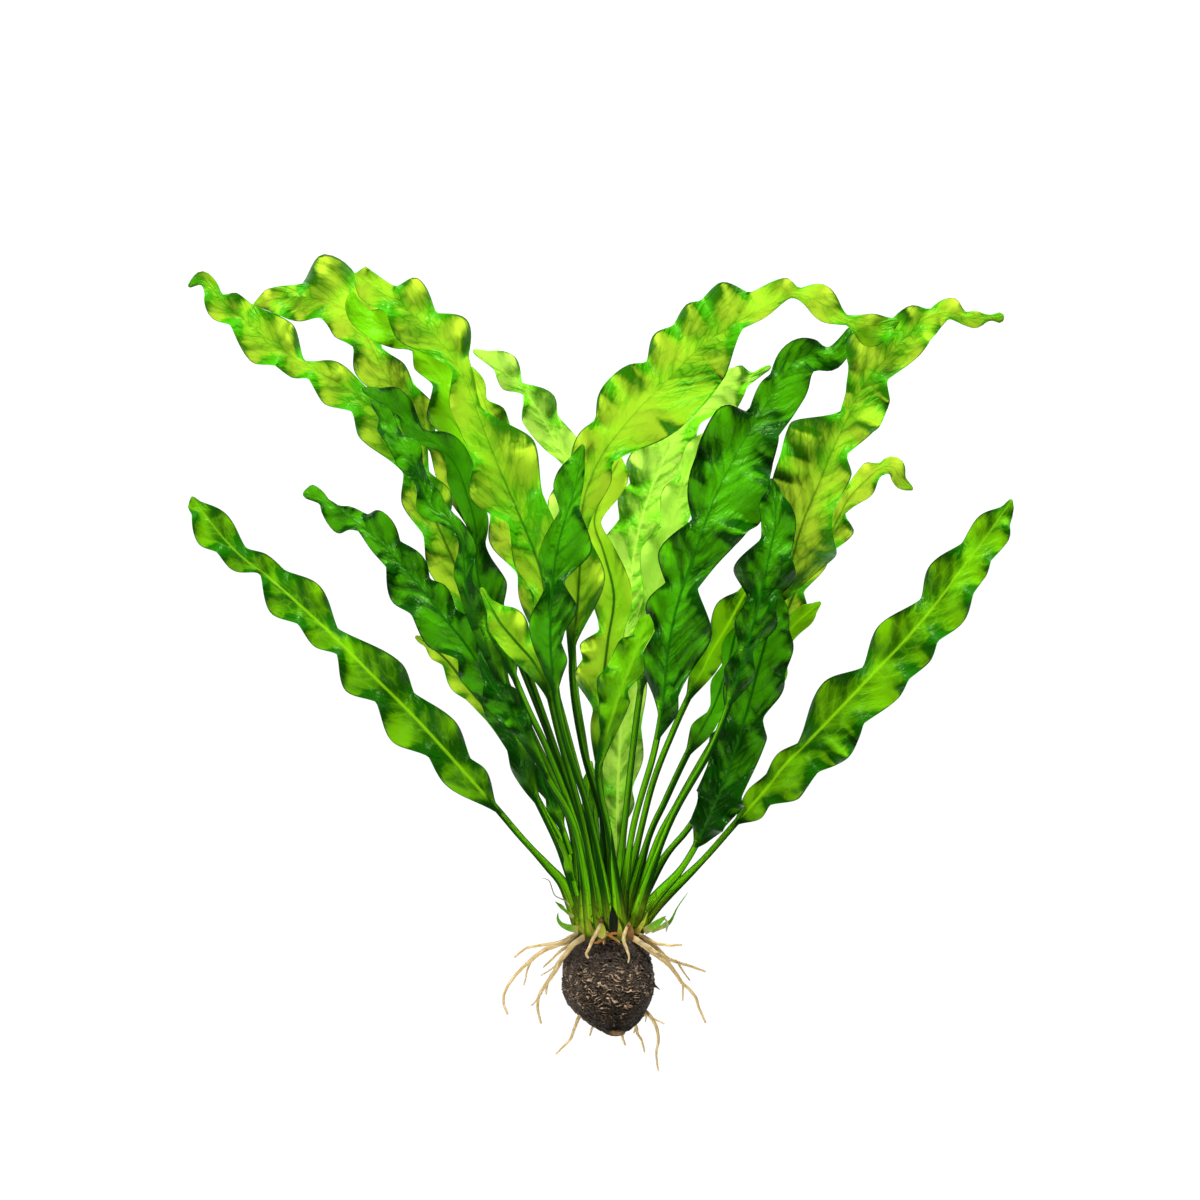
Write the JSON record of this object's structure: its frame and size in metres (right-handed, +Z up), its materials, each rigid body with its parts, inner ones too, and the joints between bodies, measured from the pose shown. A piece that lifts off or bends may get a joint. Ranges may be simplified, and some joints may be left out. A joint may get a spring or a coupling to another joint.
{
  "type": "aponogeton bulb",
  "caption": "Rooted aquarium-plant tuber lying on its back, with a fan of long ruffled green leaves on slender stalks and pale wiry roots.",
  "frame": {"origin": "middle of the small flat that the tuber rests on, on the surface under the plant", "axes": "+Z up from the surface, +Y from the tuber towards the leaf tips, +X to the right seen from above"},
  "size_m": [0.2783, 0.2742, 0.0844],
  "materials": {
    "leaf_deep": "glossy deep green leaf, shaded or seen on its upper face",
    "leaf_mid": "glossy mid green leaf with a paler midrib",
    "leaf_bright": "glossy lime green leaf, translucent, with fine dark veins",
    "leaf_pale": "thin pale lime leaf, translucent",
    "leaf_scale": "withered leaf base, green turning straw",
    "root": "matt cream-tan root skin",
    "tuber": "rough dark brown bark with pits and scales"
  },
  "bodies": {
    "root": {"leaf_arch_centre": "leaf_bright", "leaf_arch_left": "leaf_bright", "leaf_back_centre": "leaf_pale", "leaf_back_curled": "leaf_bright", "leaf_back_left": "leaf_pale", "leaf_back_pale": "leaf_pale", "leaf_broad_left": "leaf_bright", "leaf_dark_left": "leaf_deep", "leaf_dark_right": "leaf_deep", "leaf_front_centre": "leaf_mid", "leaf_front_left": "leaf_deep", "leaf_front_right": "leaf_deep", "leaf_hidden_right": "leaf_deep", "leaf_inner_left": "leaf_pale", "leaf_inner_right": "leaf_mid", "leaf_lime_centre": "leaf_bright", "leaf_low_left": "leaf_mid", "leaf_low_right": "leaf_mid", "leaf_outer_left": "leaf_bright", "leaf_outer_right": "leaf_bright", "leaf_ribbon_left": "leaf_deep", "leaf_short_centre": "leaf_mid", "leaf_short_left": "leaf_bright", "leaf_side_left": "leaf_deep", "leaf_side_right": "leaf_deep", "leaf_small_left": "leaf_bright", "leaf_small_right": "leaf_mid", "leaf_tip_left": "leaf_mid", "root_front_left": "root", "root_front_right": "root", "root_left_fine": "root", "root_left_inner": "root", "root_left_long": "root", "root_left_short": "root", "root_left_shoulder": "root", "root_right_long": "root", "root_right_middle": "root", "root_right_short": "root", "root_tip_left": "root", "root_tip_long": "root", "root_tip_middle": "root", "root_tip_right": "root", "root_tip_stub": "root", "scale_left": "leaf_scale", "scale_left_upper": "leaf_scale", "scale_right": "leaf_scale", "scale_right_lower": "leaf_scale", "tuber": "tuber"}
  },
  "joints": []
}
